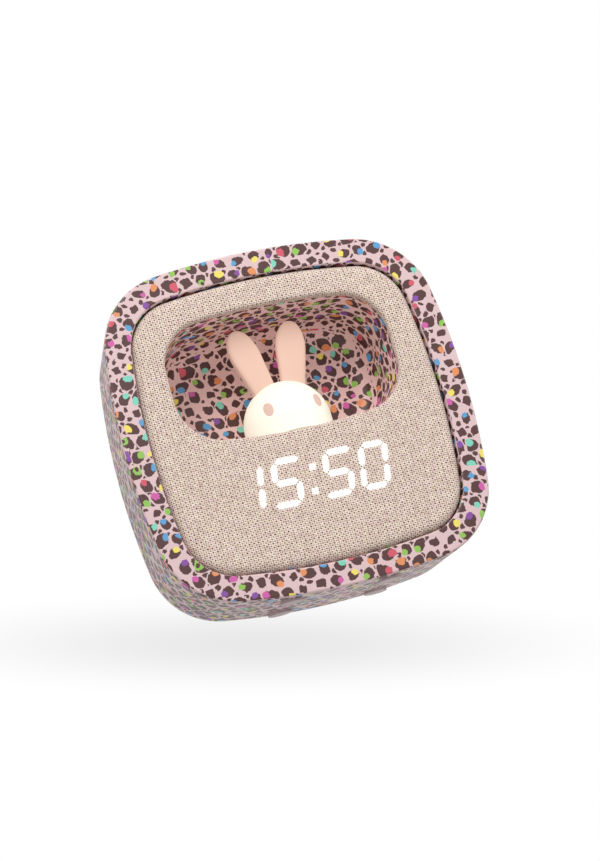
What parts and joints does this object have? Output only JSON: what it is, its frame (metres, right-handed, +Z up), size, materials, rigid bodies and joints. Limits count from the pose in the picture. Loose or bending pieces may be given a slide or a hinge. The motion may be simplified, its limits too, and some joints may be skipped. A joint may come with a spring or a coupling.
{
  "type": "alarm clock with night light",
  "caption": "Rounded square bedside alarm clock for children: fabric front, glowing bar digits, and a niche with a rabbit-shaped night light.",
  "frame": {"origin": "on the floor under the middle of the clock, at the bottom centre of its bounding box", "axes": "+X to the right seen from the front, +Y from the fabric front to the back cover, +Z up"},
  "size_m": [0.1338, 0.0653, 0.1339],
  "materials": {
    "printed_case": "printed matt lacquer, animal pattern on pink",
    "printed_liner": "printed matt lacquer, animal pattern on pink",
    "woven_fabric": "plain weave, beige and rose melange",
    "carrier_plastic": "moulded",
    "lamp_white": "translucent soft-touch",
    "ear_peach": "soft-touch",
    "eye_peach": "soft-touch",
    "cover_plastic": "fine moulded grain",
    "key_plastic": "satin",
    "foot_silicone": "clear silicone",
    "plunger_plastic": "moulded",
    "screw_steel": "zinc plated",
    "board_laminate": "solder mask",
    "led_body": "lens",
    "light_resin": "milky resin",
    "diffuser_film": "frosted film",
    "reflector_plastic": "moulded white",
    "tray_plastic": "moulded",
    "cell_wrap": "shrink wrap",
    "switch_plastic": "moulded",
    "switch_steel": "pressed",
    "socket_steel": "drawn shell",
    "basket_steel": "black",
    "magnet_iron": "plated",
    "cone_paper": "coated paper",
    "plug_plastic": "moulded",
    "chip_plastic": "moulded",
    "lead_sleeve": "sleeve",
    "ribbon_film": "flat flexible cable"
  },
  "bodies": {
    "clock": {"back_cover": "cover_plastic", "battery_cell": "cell_wrap", "battery_lead": "lead_sleeve", "battery_tray": "tray_plastic", "board_chips": "chip_plastic", "board_plugs": "plug_plastic", "board_screws": "screw_steel", "case_shell": "printed_case", "cover_screws": "screw_steel", "digit_lights": "light_resin", "display_board": "board_laminate", "display_diffuser": "diffuser_film", "display_leds": "led_body", "display_reflector": "reflector_plastic", "display_ribbon": "ribbon_film", "display_screws": "screw_steel", "fabric_cover": "woven_fabric", "feet": "foot_silicone", "lamp_board": "board_laminate", "lamp_ear_left": "ear_peach", "lamp_ear_right": "ear_peach", "lamp_eyes": "eye_peach", "lamp_head": "lamp_white", "lamp_lead": "lead_sleeve", "lamp_leds": "led_body", "lamp_screws": "screw_steel", "main_board": "board_laminate", "niche_liner": "printed_liner", "niche_screws": "screw_steel", "panel_carrier": "carrier_plastic", "panel_screws": "screw_steel", "rear_switches": "switch_plastic", "slide_switch": "switch_steel", "snooze_board": "board_laminate", "snooze_lead": "lead_sleeve", "snooze_screws": "screw_steel", "snooze_switch": "switch_plastic", "socket_shell": "socket_steel", "socket_tongue": "switch_plastic", "speaker_basket": "basket_steel", "speaker_cone": "cone_paper", "speaker_lead": "lead_sleeve", "speaker_magnet": "magnet_iron", "tray_screws": "screw_steel"},
    "set_key": {"set_button": "key_plastic", "set_plunger": "plunger_plastic"},
    "minus_key": {"minus_button": "key_plastic", "minus_plunger": "plunger_plastic"},
    "plus_key": {"plus_button": "key_plastic", "plus_plunger": "plunger_plastic"},
    "light_key": {"light_button": "key_plastic", "light_plunger": "plunger_plastic"},
    "snooze_key": {"snooze_button": "key_plastic", "snooze_plunger": "plunger_plastic"},
    "alarm_key": {"alarm_slider": "key_plastic"}
  },
  "joints": [
    {"name": "set_press", "type": "slide", "parent": "clock", "child": "set_key", "axis": [0, -0.9977, 0.0675], "range_m": [0, 0.0006], "stiffness_N_per_m": 600, "springref_m": -0.0003},
    {"name": "minus_press", "type": "slide", "parent": "clock", "child": "minus_key", "axis": [0, -0.9977, 0.0675], "range_m": [0, 0.0006], "stiffness_N_per_m": 600, "springref_m": -0.0003},
    {"name": "plus_press", "type": "slide", "parent": "clock", "child": "plus_key", "axis": [0, -0.9977, 0.0675], "range_m": [0, 0.0006], "stiffness_N_per_m": 600, "springref_m": -0.0003},
    {"name": "light_press", "type": "slide", "parent": "clock", "child": "light_key", "axis": [0, -0.9977, 0.0675], "range_m": [0, 0.0006], "stiffness_N_per_m": 600, "springref_m": -0.0003},
    {"name": "snooze_press", "type": "slide", "parent": "clock", "child": "snooze_key", "axis": [0, -0.1347, -0.9909], "range_m": [0, 0.0006], "stiffness_N_per_m": 600, "springref_m": -0.0003},
    {"name": "alarm_slide", "type": "slide", "parent": "clock", "child": "alarm_key", "axis": [1, 0, 0], "range_m": [0, 0.003]}
  ]
}
